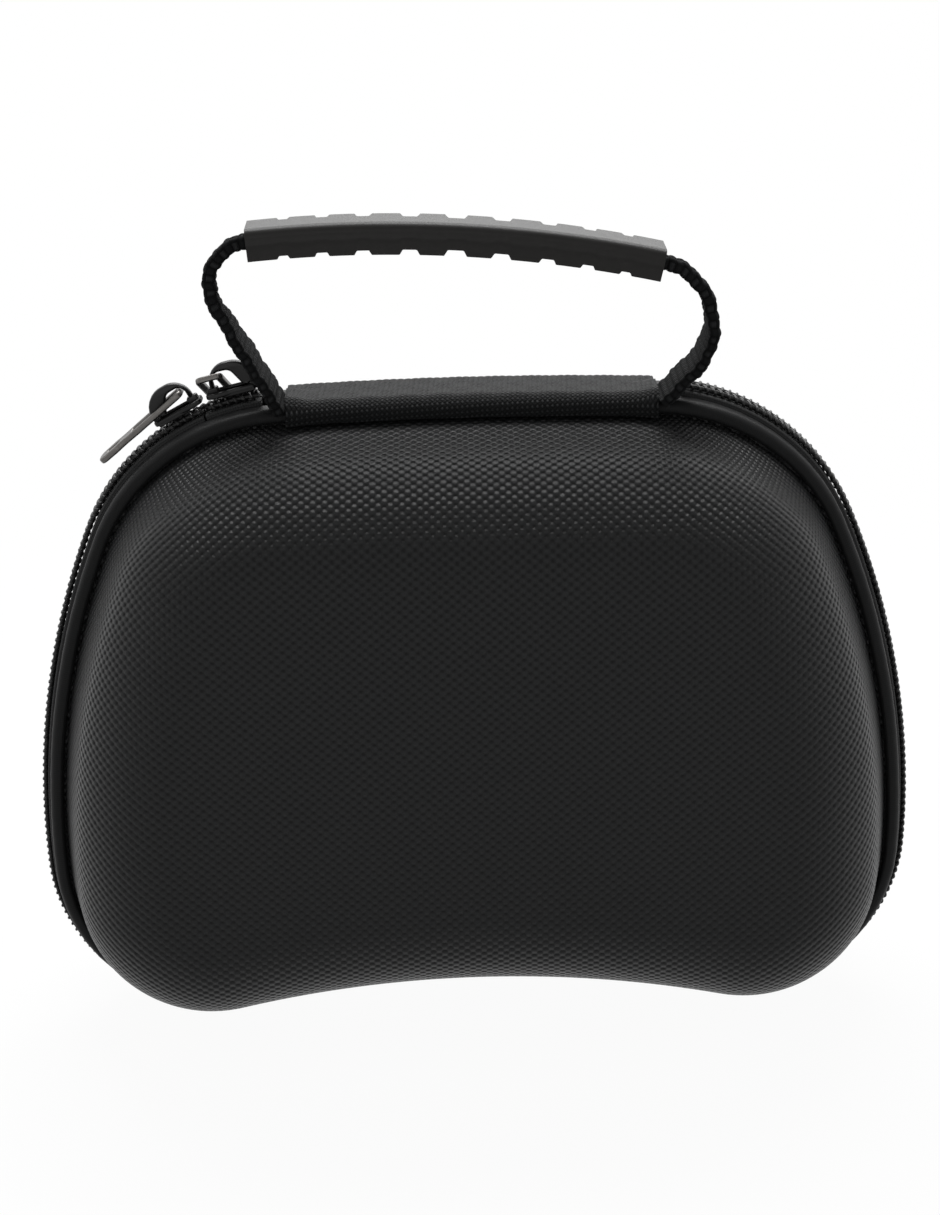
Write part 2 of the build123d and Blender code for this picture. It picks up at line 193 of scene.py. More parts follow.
class Graph:
    """A material's nodes, with short calls for the few kinds used here."""

    def __init__(self, name):
        self.material = bpy.data.materials.new(name)
        self.material.use_nodes = True
        self.tree = self.material.node_tree
        self.tree.nodes.clear()
        self.out = self.add("ShaderNodeOutputMaterial")

    def add(self, kind, **settings):
        node = self.tree.nodes.new(kind)
        for key, value in settings.items():
            setattr(node, key, value)
        return node

    def plug(self, socket, value):
        if isinstance(value, bpy.types.NodeSocket):
            self.tree.links.new(value, socket)
        else:
            socket.default_value = value

    def math(self, operation, *values):
        node = self.add("ShaderNodeMath", operation=operation)
        for i, value in enumerate(values):
            self.plug(node.inputs[i], value)
        return node.outputs[0]

    def mix(self, share, low, high):
        """Between two numbers."""
        node = self.add("ShaderNodeMix", data_type="FLOAT")
        self.plug(node.inputs[0], share)
        self.plug(node.inputs[2], low)
        self.plug(node.inputs[3], high)
        return node.outputs[0]

    def blend(self, share, low, high):
        """Between two colours."""
        node = self.add("ShaderNodeMix", data_type="RGBA")
        self.plug(node.inputs[0], share)
        self.plug(node.inputs[6], low)
        self.plug(node.inputs[7], high)
        return node.outputs[2]

    def uv(self):
        """The mesh's own two coordinates, in millimetres."""
        node = self.add("ShaderNodeSeparateXYZ")
        self.plug(node.inputs[0], self.add("ShaderNodeUVMap", uv_map="mm").outputs[0])
        return node.outputs[0], node.outputs[1]

    def noise(self, size, detail=2.0):
        """Noise in object space, with features of that many millimetres."""
        place = self.add("ShaderNodeTexCoord").outputs["Object"]
        scaled = self.add("ShaderNodeMapping")
        scaled.inputs["Scale"].default_value = [1 / (size * MM)] * 3
        self.plug(scaled.inputs["Vector"], place)
        node = self.add("ShaderNodeTexNoise")
        node.inputs["Scale"].default_value = 1.0
        node.inputs["Detail"].default_value = detail
        self.plug(node.inputs["Vector"], scaled.outputs[0])
        return node.outputs[0]

    def bump(self, height, depth, normal=None):
        """A bump that is depth millimetres deep where height runs from 0 to 1."""
        node = self.add("ShaderNodeBump")
        node.inputs["Strength"].default_value = 1.0
        node.inputs["Distance"].default_value = depth * MM
        self.plug(node.inputs["Height"], height)
        if normal is not None:
            self.plug(node.inputs["Normal"], normal)
        return node.outputs[0]

    def shader(self, colour, roughness, normal=None, **fixed):
        node = self.add("ShaderNodeBsdfPrincipled")
        self.plug(node.inputs["Base Color"], colour)
        self.plug(node.inputs["Roughness"], roughness)
        if normal is not None:
            self.plug(node.inputs["Normal"], normal)
        for key, value in fixed.items():
            node.inputs[key.replace("_", " ")].default_value = value
        self.tree.links.new(node.outputs[0], self.out.inputs["Surface"])
        return self.material


def grey(level, blue=0.0):
    return (level, level * (1 + blue / 2), level * (1 + blue), 1)


def clamped(g, value):
    return g.math("MINIMUM", g.math("MAXIMUM", value, 0.0), 1.0)


def half_wave(g, place):
    """A sine that changes sign at each whole number."""
    return g.math("SINE", g.math("MULTIPLY", place, math.pi))


def crossed_yarns(g, a, b, low):
    """Yarns one over one under: their height, and 1 where the upper kind is on top."""
    across, along = (g.math("ABSOLUTE", half_wave(g, place)) for place in (a, b))
    cells = g.math("ADD", g.math("FLOOR", a), g.math("FLOOR", b))
    over = g.math("FLOORED_MODULO", cells, 2.0)
    warp = g.math("MULTIPLY", g.math("POWER", across, 0.5), along)
    weft = g.math("MULTIPLY", g.math("POWER", along, 0.6), across)
    return g.mix(over, g.math("MULTIPLY", warp, low), weft), over


def pressed_yarns(g, a, b, pits):
    """The height of yarns pressed into broad bumps, with pits between them."""
    sunk = g.math("MULTIPLY_ADD", g.math("MULTIPLY", half_wave(g, a), half_wave(g, b)), -0.5, 0.5)
    return g.math("SUBTRACT", 1.0, g.math("POWER", clamped(g, sunk), pits))


def plain_weave(
    name, pitch, dark, light, depth, rough, sheen=0.02, under=0.5, low=0.55, wave=0.0, gloss=0.15,
    turn=False, pits=0.0,
):
    """Cloth in the mesh's own coordinates or, with turn, diagonal to them.

    Its yarns are crossed, with under and low for the lower ones' lightness and height, or
    pressed where pits is given. The colour follows the height, so the dips and pits are
    painted shade, and under paints the lower kind darker as shade beside the upper kind's painted
    sheen.
    """
    g = Graph(name)
    u, v = g.uv()
    if turn:
        u, v = g.math("ADD", u, v), g.math("SUBTRACT", u, v)
    a, b = g.math("DIVIDE", u, pitch[0]), g.math("DIVIDE", v, pitch[1])
    if wave:
        wobble = g.math("MULTIPLY", g.math("SUBTRACT", g.noise(14.0), 0.5), wave)
        a, b = g.math("ADD", a, wobble), g.math("ADD", b, wobble)
    # The colour follows the height: painted shade in the pits and in the dips between yarns. Under
    # darkens the lower kind as painted shade, against the upper kind's painted sheen.
    if pits:
        height = tone = pressed_yarns(g, a, b, pits)
    else:
        height, over = crossed_yarns(g, a, b, low)
        tone = g.math("MULTIPLY", height, g.mix(over, under, 1.0))
    fuzz, patch = g.noise(0.22, 3.0), g.noise(11.0, 3.0)
    tone = g.math("MULTIPLY", tone, g.math("ADD", 0.55, g.math("MULTIPLY", fuzz, 0.9)))
    tone = g.math("ADD", tone, g.math("MULTIPLY", g.math("SUBTRACT", patch, 0.5), 0.14))
    colour = g.blend(clamped(g, tone), grey(dark, 0.06), grey(light, 0.06))
    level = g.math("ADD", height, g.math("MULTIPLY", fuzz, 0.2))
    roughness = g.mix(fuzz, rough - 0.1, rough + 0.1)
    normal = g.bump(level, depth)
    return g.shader(colour, roughness, normal, Sheen_Weight=sheen, Specular_IOR_Level=gloss)


def ribbed(name, pitch, dark, light, depth, fine=0.5, rough=0.6, sheen=0.02, gloss=0.2):
    """Ribs across the mesh's first coordinate, with finer yarns along them, painted darker in the
    grooves between them as shade.
    """
    g = Graph(name)
    u, v = g.uv()
    ribs = g.math("ABSOLUTE", g.math("SINE", g.math("MULTIPLY", u, math.pi / pitch)))
    yarns = g.math("ABSOLUTE", g.math("SINE", g.math("MULTIPLY", v, math.pi / fine)))
    fuzz, patch = g.noise(0.3, 3.0), g.noise(7.0, 3.0)
    height = g.math("ADD", g.math("MULTIPLY", ribs, 0.65), g.math("MULTIPLY", yarns, 0.35))
    # The colour follows the height: painted shade in the grooves, with random fuzz and patches on
    # top.
    tone = g.math("ADD", height, g.math("MULTIPLY", g.math("SUBTRACT", fuzz, 0.5), 0.8))
    tone = g.math("ADD", tone, g.math("MULTIPLY", g.math("SUBTRACT", patch, 0.5), 0.4))
    colour = g.blend(clamped(g, tone), grey(dark, 0.04), grey(light, 0.04))
    normal = g.bump(g.math("ADD", height, g.math("MULTIPLY", fuzz, 0.25)), depth)
    roughness = g.mix(fuzz, rough - 0.1, rough + 0.1)
    return g.shader(colour, roughness, normal, Sheen_Weight=sheen, Specular_IOR_Level=gloss)


def moulded(name, level, rough, grain, depth, metal=0.0, warm=0.0, gloss=0.5):
    """Moulded plastic, rubber or painted metal with fine grain and light scuffs."""
    g = Graph(name)
    fine, patch = g.noise(grain, 4.0), g.noise(grain * 25, 3.0)
    scuff = g.math("POWER", g.noise(grain * 6, 6.0), 4.0)
    tone = g.mix(patch, 0.7, 1.3)
    low, high = grey(level, -warm), grey(level * 2.2, -warm)
    colour = g.blend(g.math("MULTIPLY", scuff, tone), low, high)
    roughness = g.math("ADD", g.math("MULTIPLY", fine, 0.18), rough - 0.09)
    normal = g.bump(fine, depth)
    return g.shader(colour, roughness, normal, Metallic=metal, Specular_IOR_Level=gloss)


# Mesh making

WELD_REACH = 1e-6


def add_piece(name, verts, faces, materials, uvs=None, kinds=None, sharp=50.0):
    """A mesh object from points in millimetres, with its own coordinates per face corner."""
    mesh = bpy.data.meshes.new(name)
    mesh.from_pydata([tuple(x * MM for x in v) for v in verts], [], faces)
    for material in materials:
        mesh.materials.append(material)
    if uvs is not None:
        layer = mesh.uv_layers.new(name="mm")
        corners = np.array([p for face in uvs for p in face], np.float32)
        layer.data.foreach_set("uv", corners.ravel())
    if kinds is not None:
        mesh.polygons.foreach_set("material_index", kinds)
    mesh.validate()
    mesh.polygons.foreach_set("use_smooth", [True] * len(mesh.polygons))
    mesh.set_sharp_from_angle(angle=math.radians(sharp))
    piece = bpy.data.objects.new(name, mesh)
    bpy.context.scene.collection.objects.link(piece)
    return piece


def belongs(piece, body, slot, *nodes):
    """Puts a piece on a body, in the place of CAD nodes if it has any; slot is not used."""
    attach(piece, body)
    if nodes:
        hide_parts(*nodes)


def fix_normals(piece, weld=False):
    """Turns the faces outward, with weld after points at one place are made one."""
    work = bmesh.new()
    work.from_mesh(piece.data)
    if weld:
        bmesh.ops.remove_doubles(work, verts=work.verts, dist=WELD_REACH)
    bmesh.ops.recalc_face_normals(work, faces=work.faces)
    work.to_mesh(piece.data)
    work.free()


def tangent_arcs():
    """The outline's arcs from the top middle clockwise: centre, radius, angles and bulge."""
    lobe_z = ZIP_PROUD + LOBE_R
    top = SHOULDER_Z + SHOULDER_R + CROWN_RISE
    c = top - SHOULDER_R
    crown_z = (c**2 - SHOULDER_X**2 - SHOULDER_Z**2) / (2 * (c - SHOULDER_Z))
    arch_top = ZIP_PROUD + ARCH_RISE
    c = arch_top + LOBE_R
    arch_z = (c**2 - LOBE_X**2 - lobe_z**2) / (2 * (c - lobe_z))
    span = math.hypot(LOBE_X - SHOULDER_X, lobe_z - SHOULDER_Z)
    reach = SIDE_R - SHOULDER_R
    along = (reach**2 - (SIDE_R - LOBE_R) ** 2 + span**2) / (2 * span)
    across = math.sqrt(reach**2 - along**2)
    down = ((LOBE_X - SHOULDER_X) / span, (lobe_z - SHOULDER_Z) / span)
    side_x = SHOULDER_X + along * down[0] + across * down[1]
    side_z = SHOULDER_Z + along * down[1] - across * down[0]
    crown = math.atan2(SHOULDER_Z - crown_z, SHOULDER_X)
    shoulder = math.atan2(SHOULDER_Z - side_z, SHOULDER_X - side_x)
    lobe = math.atan2(lobe_z - side_z, LOBE_X - side_x)
    arch = math.atan2(lobe_z - arch_z, LOBE_X)
    right = [
        ((0, crown_z), top - crown_z, math.pi / 2, crown, 1),
        ((SHOULDER_X, SHOULDER_Z), SHOULDER_R, crown, shoulder, 1),
        ((side_x, side_z), SIDE_R, shoulder, lobe, 1),
        ((LOBE_X, lobe_z), LOBE_R, lobe, arch - math.pi, 1),
        ((0, arch_z), arch_top - arch_z, arch, math.pi / 2, -1),
    ]
    left = [((-x, z), r, math.pi - b, math.pi - a, k) for (x, z), r, a, b, k in reversed(right)]
    return right + left


def outline(step):
    """Places and outward directions round the outline, about step apart, from the top middle."""
    places, outward = [], []
    for (x, z), r, a, b, bulge in tangent_arcs():
        count = max(2, math.ceil(abs(a - b) * r / step))
        for angle in np.linspace(a, b, count, endpoint=False):
            c, s = math.cos(angle), math.sin(angle)
            places.append((x + r * c, z + r * s))
            outward.append((bulge * c, bulge * s))
    return np.array(places), np.array(outward)


def distances(points):
    """How far along a line each of its points lies, from 0."""
    steps = np.hypot(*np.diff(np.asarray(points, float), axis=0).T)
    return np.concatenate([[0], np.cumsum(steps)])


class Rail:
    """The outline moved in by an inset, as a line that is read by the distance along it."""

    def __init__(self, inset):
        places, outward = outline(0.5)
        places = np.vstack([places, places[:1]])
        self.outward = np.vstack([outward, outward[:1]])
        self.places = places - self.outward * inset
        self.far = distances(self.places)
        self.length = self.far[-1]

    def at(self, far):
        """Places and outward directions. A distance past the end starts again from 0."""
        far = np.mod(far, self.length)
        place = np.stack([np.interp(far, self.far, self.places[:, i]) for i in (0, 1)], -1)
        out = np.stack([np.interp(far, self.far, self.outward[:, i]) for i in (0, 1)], -1)
        return place, out / np.linalg.norm(out, axis=-1, keepdims=True)

    def top_at(self, x):
        """The distance at which the top edge passes x."""
        upper = self.places[:, 1] > SHOULDER_Z
        right = upper & (self.far < self.length / 2)
        if x >= 0:
            return float(np.interp(x, self.places[right, 0], self.far[right]))
        left = upper & (self.far > self.length / 2)
        return float(np.interp(x, self.places[left, 0], self.far[left]))


def section_faces(fars, around, closed=False):
    """Faces and coordinates of a skin of closed sections, with flat ends unless it is closed.

    The distances along and round it each hold one more where they come back to the start.
    """
    n, m = len(fars) - closed, len(around) - 1
    faces, uvs = [], []
    for i in range(len(fars) - 1):
        k = (i + 1) % n
        for j in range(m):
            q = (j + 1) % m
            faces.append((i * m + j, k * m + j, k * m + q, i * m + q))
            near, on, low, high = fars[i], fars[i + 1], around[j], around[j + 1]
            uvs.append([(near, low), (on, low), (on, high), (near, high)])
    if not closed:
        for i in (0, n - 1):
            faces.append([i * m + j for j in range(m)])
            uvs.append([(fars[i], far) for far in around[:-1]])
    return faces, uvs


def sweep(rail, fars, profile, closed=False, bumps=None):
    """A closed section along the rail: profile is a list of (inset from the rail, depth)."""
    place, out = rail.at(np.asarray(fars))
    verts = []
    for i, (spot, away) in enumerate(zip(place, out)):
        for j, (inset, depth) in enumerate(profile):
            if bumps is not None:
                inset, depth = bumps(i, j, inset, depth)
            x, z = spot - away * inset
            verts.append((x, depth, z))
    if closed:
        fars = [*fars, fars[0] + rail.length]
    return verts, *section_faces(fars, distances([*profile, profile[0]]), closed)


def rounded(points, radii, count=5):
    """A run of corners, each rounded by its own radius or kept where that is 0."""
    made = []
    for i, (point, radius) in enumerate(zip(points, radii)):
        here = Vector(point)
        before, after = Vector(points[i - 1]), Vector(points[(i + 1) % len(points)])
        if radius <= 0:
            made.append(tuple(here))
            continue
        a, b = (before - here).normalized(), (after - here).normalized()
        half = a.angle(b) / 2
        reach = radius / math.tan(half)
        centre = here + (a + b).normalized() * (radius / math.sin(half))
        start, end = here + a * reach, here + b * reach
        for step in np.linspace(0, 1, count):
            arm = (start - centre).lerp(end - centre, step).normalized()
            made.append(tuple(centre + arm * radius))
    return made


# Shell halves

SHELL_RIM, FLANGE_FOOT = (1.0, FLANGE_START), 2.2
FACE_CROWN, CROWN_SPREAD = 0.4, 12.0
RING_STEP, FILL_STEP = 2.0, 4.0


def dome_profile(inset, near, far, draft, rounding, foot=0.0):
    """From the flange up the drafted side to the flat face, with both corners rounded."""
    top = inset + (far - near) * math.tan(draft)
    corners = [(inset - foot, near), (inset, near), (top, far), (top + 2 * rounding, far)]
    start = rounded(corners, [0, 0.5, 0, 0], 5)[:6] if foot else [(inset, near)]
    face = rounded(corners, [0, 0, rounding, 0], 17)[2:-1]
    low, high = Vector(start[-1]), Vector(face[0])
    side = [tuple(low.lerp(high, t)) for t in np.linspace(0, 1, 8)[1:-1]]
    return [SHELL_RIM] + start + side + face


def skin(profile, sign):
    """One face of a shell half: rings up the side, then a filled, slightly crowned face."""
    places, outward = outline(RING_STEP)
    n = len(places)
    far = distances(profile)
    flat = profile[-1][0] - (far[-1] - far)
    verts, uv, faces = [], [], []
    for (inset, depth), spread in zip(profile, flat):
        for place, out in zip(places, outward):
            x, z = place - out * inset
            verts.append((x, sign * depth, z))
            uv.append(tuple(place - out * spread))
    for k in range(len(profile) - 1):
        for i in range(n):
            j = (i + 1) % n
            faces.append((k * n + i, k * n + j, (k + 1) * n + j, (k + 1) * n + i))
    rim = [Vector(p) for p in uv[-n:]]
    xs, zs = np.arange(-80, 81, FILL_STEP), np.arange(0, 131, FILL_STEP)
    grid = [Vector((x, z)) for x in xs for z in zs]
    fill = [place for place in grid if depth_inside(*place, rim) > FILL_STEP * 0.6]
    loop = [(i, (i + 1) % n) for i in range(n)]
    points, _, triangles, source, _, _ = delaunay_2d_cdt(rim + fill, loop, [], 1, 1e-4)
    number = []
    for point, from_points in zip(points, source):
        if from_points and from_points[0] < n:
            number.append((len(profile) - 1) * n + from_points[0])
            continue
        number.append(len(verts))
        rise = FACE_CROWN * (1 - math.exp(-depth_inside(*point, rim) / CROWN_SPREAD))
        verts.append((point.x, sign * (profile[-1][1] + rise), point.y))
        uv.append(tuple(point))
    faces += [tuple(number[i] for i in triangle) for triangle in triangles]
    return verts, faces, uv


def depth_inside(x, z, rim):
    """How far a point lies inside a closed line, or a negative number outside it."""
    px = np.array([p.x for p in rim])
    pz = np.array([p.y for p in rim])
    near = np.hypot(px - x, pz - z).min()
    qx, qz = np.roll(px, -1), np.roll(pz, -1)
    crosses = (pz > z) != (qz > z)
    with np.errstate(divide="ignore", invalid="ignore"):
        at = px + (z - pz) / (qz - pz) * (qx - px)
    inside = np.count_nonzero(crosses & (x < at)) % 2 == 1
    return near if inside else -near


def make_shell(name, body, sign, woven, lining):
    """A moulded half: woven outside, lining inside, one closed skin."""
    outer = dome_profile(DOME_INSET, FLANGE_END, HALF_DEPTH, DRAFT, FACE_ROUND, FLANGE_FOOT)
    inner = dome_profile(LINING_INSET, FLANGE_START, LINING_END, LINING_DRAFT, LINING_ROUND)
    verts, faces, uv = skin(outer, sign)
    kinds = [0] * len(faces)
    more, more_faces, more_uv = skin(inner, sign)
    start = len(verts)
    faces += [tuple(start + i for i in face) for face in more_faces]
    verts, uv = verts + more, uv + more_uv
    kinds += [1] * len(more_faces)
    corner_uv = [[uv[i] for i in face] for face in faces]
    piece = add_piece(name, verts, faces, [woven, lining], corner_uv, kinds, 60)
    fix_normals(piece, weld=True)
    belongs(piece, body, "woven_shell", name)


# Binding, tape and coil

BINDING_W, BINDING_STEPS = 2.8, 360
# A loop's yarn and the core it is wound on, then its middle, reach and rise, from the zip plane
LOOP_R, CORE_R, CORE_DEPTH = 0.31, 0.42, 1.5
LOOP_DEPTH, LOOP_REACH, LOOP_RISE, LOOP_STEPS = 1.22, 1.28, 0.36, 12
COIL_MARGIN = 0.4


def make_binding(side, body, material):
    """The rounded edge tape that runs all round a half's rim."""
    sign = -1 if side == "front" else 1
    corners = [(0, TAPE_END), (0, BINDING_END), (BINDING_W, BINDING_END), (BINDING_W, TAPE_END)]
    profile = [(i, sign * d) for i, d in rounded(corners, [0.5, 1.8, 0.8, 0.0], 8)]
    rail = Rail(0)
    fars = np.linspace(0, rail.length, BINDING_STEPS, endpoint=False)

    def pucker(i, j, inset, depth):
        """The slight waves of a sewn edge."""
        wave = 0.035 * math.sin(i * 2.1) + 0.03 * math.sin(i * 0.37 + 1)
        return inset - wave * 0.6, depth + sign * wave * (0.5 if j > 8 else 0.2)

    parts = sweep(rail, fars, profile, closed=True, bumps=pucker)
    piece = add_piece(side + "_binding", *parts[:2], [material], parts[2], sharp=70)
    fix_normals(piece)
    belongs(piece, body, "binding", side + "_binding")


def tube(points, radius, sides):
    """A round tube through points, with flat ends."""
    points = np.asarray(points, float)
    ahead = np.roll(points, -1, 0) - np.roll(points, 1, 0)
    ahead[0], ahead[-1] = points[1] - points[0], points[-1] - points[-2]
    ahead /= np.linalg.norm(ahead, axis=1, keepdims=True)
    side = np.cross(ahead[0], (0.3, 0.5, 0.8))
    verts = []
    angles = np.linspace(0, 2 * math.pi, sides, endpoint=False)
    for point, direction in zip(points, ahead):
        side = side - direction * side.dot(direction)
        side /= np.linalg.norm(side)
        up = np.cross(direction, side)
        verts += [point + radius * (math.cos(a) * side + math.sin(a) * up) for a in angles]
    last = (len(points) - 1) * sides
    faces = []
    for start in range(0, last, sides):
        for j in range(sides):
            q = (j + 1) % sides
            faces.append((start + j, start + q, start + sides + q, start + sides + j))
    faces += [tuple(range(sides))[::-1], tuple(last + j for j in range(sides))]
    return [tuple(v) for v in verts], faces


def joined(parts):
    verts, faces = [], []
    for more, more_faces in parts:
        start = len(verts)
        verts += more
        faces += [tuple(start + i for i in face) for face in more_faces]
    return verts, faces


COIL_RAIL = Rail(-1.58)


def zip_span(rail, kind):
    """Where a run of the zip starts and ends on a rail: front, rear, or the front's held end."""
    start = rail.top_at(HELD_START if kind == "held" else ZIP_RIGHT)
    return start, rail.top_at(ZIP_END if kind == "front" else ZIP_LEFT)


def make_coil(kind, body, material):
    """A nylon coil: a flattened spiral whose loops reach into the other half's."""
    sign = 1 if kind == "rear" else -1
    start, end = zip_span(COIL_RAIL, kind)
    offset = COIL_RAIL.top_at(ZIP_RIGHT) + (0.5 * TOOTH_PITCH if kind == "rear" else 0)
    first = math.ceil((start + COIL_MARGIN - offset) / TOOTH_PITCH) * LOOP_STEPS
    last = math.floor((end - COIL_MARGIN - offset) / TOOTH_PITCH) * LOOP_STEPS
    angles = np.arange(first, last + 1) / LOOP_STEPS * 2 * math.pi
    far = offset + angles / (2 * math.pi) * TOOTH_PITCH
    place, out = COIL_RAIL.at(far)
    reach = np.cos(angles)
    depth = sign * (LOOP_DEPTH - LOOP_REACH * np.sign(reach) * np.abs(reach) ** 0.7)
    spot = place + out * (LOOP_RISE * np.sin(angles))[:, None]
    loops = np.stack([spot[:, 0], depth, spot[:, 1]], -1)
    line, _ = COIL_RAIL.at(np.arange(start + 0.3, end - 0.3, 1.0))
    core = np.stack([line[:, 0], np.full(len(line), sign * CORE_DEPTH), line[:, 1]], -1)
    verts, faces = joined([tube(loops, LOOP_R, 7), tube(core, CORE_R, 8)])
    piece = add_piece(kind + "_coil_loops", verts, faces, [material])
    tracks = [] if kind == "held" else [kind + "_track_coil"]
    belongs(piece, body, "zip_coil", kind + "_zip_coil", *tracks)


def make_tape(kind, body, material):
    """The woven tape under a coil, folded out to the zip's middle."""
    sign = 1 if kind == "rear" else -1
    rail = Rail(0)
    start, end = zip_span(rail, kind)
    corners = [(-0.9, 0.4), (-0.3, 0.4), (-0.3, TAPE_START), (5.0, TAPE_START)]
    corners += [(5.0, TAPE_END), (-0.9, TAPE_END)]
    profile = [(i, sign * d) for i, d in rounded(corners, [0.2] * 5 + [0.4], 4)]
    fars = np.linspace(start, end, max(8, int((end - start) / 1.5)))
    parts = sweep(rail, fars, profile)
    piece = add_piece(kind + "_zip_tape", *parts[:2], [material], parts[2])
    fix_normals(piece)
    belongs(piece, body, "zip_tape", kind + "_zip_tape")


# Hinge strip and handle

STRIP_LEFT, STRIP_RIGHT, STRIP_EDGE, STRIP_HALF, STRIP_INNER = -34.3, 36.3, 2.9, 9.2, 8.3
RIB_STEPS, TUCK_REACH, TUCK_SWELL = 6, 3.2, 0.9


def make_strip(material):
    """The woven strip over the top of the zip, swollen in front where the handle is sewn in."""
    rail = Rail(0)
    start, end = rail.top_at(STRIP_LEFT), rail.top_at(STRIP_RIGHT) + rail.length

    def bracket(edge, wide, rounding):
        """Down the front, across and up the rear, with points on the wide run between."""
        corners = [(STRIP_EDGE, -wide), (edge, -wide), (edge, wide), (STRIP_EDGE, wide)]
        path = rounded(corners, [0, rounding, rounding, 0], 7)
        low, high = Vector(path[7]), Vector(path[8])
        between = [tuple(low.lerp(high, t)) for t in np.linspace(0, 1, 14)[1:-1]]
        return path[:8] + between + path[8:]

    profile = bracket(-1.0, STRIP_HALF, 3.6) + bracket(-0.1, -STRIP_INNER, 1.8)
    half = len(profile) // 2
    fars = np.linspace(start, end, int((end - start) / RIB_PITCH * RIB_STEPS))
    tuck = [math.exp(-((min(far - start, end - far) / TUCK_REACH) ** 2)) for far in fars]

    def ribs(i, j, inset, depth):
        if j >= half:
            return inset, depth
        rib = abs(math.sin(math.pi * i / RIB_STEPS))
        swell = 0.1 * rib + 0.05 * math.sin(i * 0.21) * math.sin(depth * 0.9)
        if depth < 1:
            swell += TUCK_SWELL * tuck[i]
        if abs(depth) > 8.6:
            return inset, depth + math.copysign(swell, depth)
        return inset - swell, depth

    parts = sweep(rail, fars, profile, bumps=ribs)
    piece = add_piece("hinge_strip_weave", *parts[:2], [material], parts[2], sharp=75)
    fix_normals(piece)
    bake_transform(piece)
    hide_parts("hinge_strip")


def turned(x, z, angle):
    c, s = math.cos(angle), math.sin(angle)
    return Vector((x * c - z * s, x * s + z * c))


HALF_CHORD = GRIP_LENGTH / 2
GRIP_R = (HALF_CHORD**2 + GRIP_RISE**2) / (2 * GRIP_RISE)
GRIP_HALF = math.asin(HALF_CHORD / GRIP_R)
GRIP_CENTRE = Vector((GRIP_X, GRIP_Z)) + turned(0, GRIP_RISE - GRIP_R, GRIP_TILT)


def handle_line(step):
    """Points and outward directions along the handle, from the left foot to the right one."""
    runs = []
    for side, base, bend in ((-1, BASE_LEFT, BEND_LEFT), (1, BASE_RIGHT, BEND_RIGHT)):
        arm = turned(0, 1, GRIP_TILT - side * GRIP_HALF)
        end = GRIP_CENTRE + arm * GRIP_R
        centre = end - arm * bend
        foot = Vector((side * base, BASE_Z))
        away = foot - centre
        turn = math.asin(bend / away.length)
        start = centre + turned(*away, side * (math.pi / 2 - turn)) * (bend / away.length)
        first = (start - centre).normalized()
        swing = first.angle(arm)
        count = max(4, int(swing * bend / step))
        arc = [turned(*arm, -side * t) for t in np.linspace(0, swing, count)]
        run = [(centre + a * bend, a) for a in arc]
        last = run[-1][1]
        count = int((foot - start).length / step)
        run += [(start.lerp(foot, t), last) for t in np.linspace(0, 1, count)[1:]]
        runs.append(run)
    angles = np.linspace(GRIP_HALF, -GRIP_HALF, int(2 * GRIP_HALF * GRIP_R / step))
    top = [(GRIP_CENTRE + a * GRIP_R, a) for a in (turned(0, 1, GRIP_TILT + t) for t in angles)]
    return runs[0][::-1] + top[1:-1] + runs[1]


# How far in front the webbing's edges lie where it is folded inside the grip
FOLD_FRONT, FOLD_REAR = 8.0, 4.4


def make_webbing(material):
    """Woven strap, folded narrower inside the grip, with uneven ribs along its edges."""
    line = handle_line(RIB_PITCH / 8)
    fars = [0.0]
    for (before, _), (after, _) in pairwise(line):
        fars.append(fars[-1] + (after - before).length)
    chance = np.random.default_rng(7)
    rib_size = chance.uniform(0.6, 1.25, int(fars[-1] / RIB_PITCH) + 2)
    verts, rings = [], []
    for (point, out), far in zip(line, fars):
        share = min(1.0, max(0.0, (NARROW_Z - point.y) / (NARROW_Z - WIDE_Z)))
        share = share * share * (3 - 2 * share)
        low, high = -FOLD_REAR * (1 - share), -(FOLD_FRONT + (WEBBING_W - FOLD_FRONT) * share)
        swell = rib_size[int(far / RIB_PITCH)] * math.sqrt(abs(math.sin(math.pi * far / RIB_PITCH)))
        half_t = WEBBING_T / 2 + 0.25 * (1 - share) + 0.2 * (swell - 1)
        drift = 0.12 * math.sin(far * 0.9) + 0.08 * math.sin(far * 2.3 + 1)
        corners = [(half_t, high), (half_t, low), (-half_t, low), (-half_t, high)]
        ring = []
        for r, d in rounded(corners, [0.75] * 4, 4):
            bulge = 0.25 * (swell - 0.6) * (1 - abs(r) / half_t)
            ring.append((r + drift, d + (bulge if d > (low + high) / 2 else -bulge)))
        rings.append(ring)
        verts += [(point.x + out.x * r, d, point.y + out.y * r) for r, d in ring]
    faces, uvs = section_faces(fars, distances(rings[0] + rings[0][:1]))
    piece = add_piece("handle_strap", verts, faces, [material], uvs, sharp=80)
    fix_normals(piece)
    belongs(piece, "front_half", "webbing", "handle_webbing")


SLEEVE_T, SLEEVE_CORNER, SLEEVE_FRONT, SLEEVE_REAR, SLEEVE_DROP = 1.5, 1.6, -9.6, -0.1, 5.9
RIDGE_RISE, RIDGE_PLACE, RIDGE_SPREAD = 0.18, 0.3, 0.12


